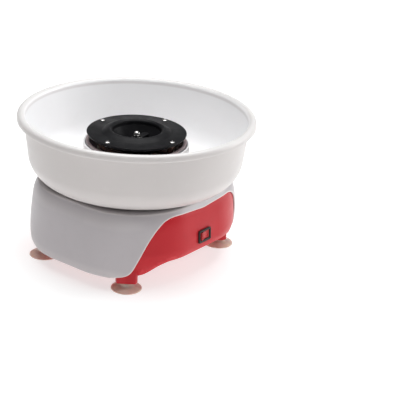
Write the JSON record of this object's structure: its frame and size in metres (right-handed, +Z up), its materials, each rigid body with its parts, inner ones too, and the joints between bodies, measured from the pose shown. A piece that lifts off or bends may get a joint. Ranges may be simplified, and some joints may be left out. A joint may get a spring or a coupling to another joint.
{
  "type": "cotton candy machine",
  "caption": "Table-top cotton candy machine: lift-off round bowl, lift-off spinner head over a ring heater and motor, two-part body on suction feet, rocker switch.",
  "frame": {"origin": "on the table under the spinner's axis, midway between the four suction feet", "axes": "+Z up along the spinner's axis, -Y towards the switch side, +X to the right as seen from the switch side"},
  "size_m": [0.27, 0.27, 0.168],
  "materials": {
    "cover_white": "satin moulded ABS",
    "bowl_white": "satin moulded PP",
    "tub_red": "satin moulded ABS",
    "cup_silicone": "translucent soft silicone",
    "head_black": "satin black coating on aluminium",
    "bright_steel": "polished",
    "zinc_steel": "zinc plated",
    "pan_steel": "heat-stained stainless sheet",
    "element_sheath": "oxidised sheath",
    "ceramic": "unglazed ceramic",
    "motor_steel": "plated sheet",
    "black_plastic": "moulded nylon",
    "bronze": "sintered bronze",
    "copper": "enamelled wire and copper",
    "magnet": "ferrite",
    "carbon": "carbon",
    "black_rubber": "moulded rubber",
    "board_green": "glass-epoxy laminate",
    "rocker_red": "moulded polycarbonate",
    "brass_blade": "tinned brass",
    "lead_cover": "woven heat-proof sleeve"
  },
  "bodies": {
    "base": {"upper_housing": "cover_white", "lower_housing": "tub_red", "suction_cup_front_left": "cup_silicone", "suction_cup_rear_left": "cup_silicone", "suction_cup_front_right": "cup_silicone", "suction_cup_rear_right": "cup_silicone", "housing_screws": "zinc_steel", "heater_pan": "pan_steel", "pan_screws": "zinc_steel", "heating_coil": "element_sheath", "coil_clips": "ceramic", "coil_bushes": "ceramic", "thermostat": "ceramic", "thermal_fuse": "zinc_steel", "motor_can": "motor_steel", "motor_end_cap": "black_plastic", "motor_terminals": "brass_blade", "motor_magnets": "magnet", "front_bush": "bronze", "rear_bush": "bronze", "carbon_brushes": "carbon", "motor_bracket": "zinc_steel", "rubber_mounts": "black_rubber", "bracket_screws": "zinc_steel", "motor_screws": "zinc_steel", "switch_body": "black_plastic", "switch_terminals": "brass_blade", "circuit_board": "board_green", "board_screws": "zinc_steel", "bridge_rectifier": "black_plastic", "smoothing_capacitor": "black_plastic", "terminal_block": "black_plastic", "cord_grommet": "black_rubber", "heater_leads": "lead_cover", "motor_leads": "lead_cover", "switch_leads": "lead_cover"},
    "bowl": {"bowl": "bowl_white"},
    "rotor": {"rotor_shaft": "bright_steel", "drive_pin": "bright_steel", "rotor_core": "motor_steel", "rotor_windings": "copper", "commutator": "copper"},
    "head": {"head_upper_plate": "head_black", "head_lower_plate": "head_black", "slot_spacers": "zinc_steel", "head_rivets": "bright_steel", "head_hub": "head_black", "stirrer_bar": "head_black", "head_washer": "bright_steel", "dome_nut": "bright_steel"},
    "rocker": {"rocker_button": "rocker_red"}
  },
  "joints": [
    {"name": "bowl_lift", "type": "slide", "parent": "base", "child": "bowl", "axis": [0, 0, 1], "range_m": [0, 0.08]},
    {"name": "rotor_spin", "type": "hinge", "parent": "base", "child": "rotor", "pos_m": [0, 0, 0.1], "axis": [0, 0, 1], "continuous": true},
    {"name": "head_lift", "type": "slide", "parent": "rotor", "child": "head", "axis": [0, 0, 1], "range_m": [0, 0.06]},
    {"name": "rocker_tilt", "type": "hinge", "parent": "base", "child": "rocker", "pos_m": [0, -0.10154, 0.05011], "axis": [0, 0.0568, 0.9984], "range_deg": [0, 18]}
  ]
}
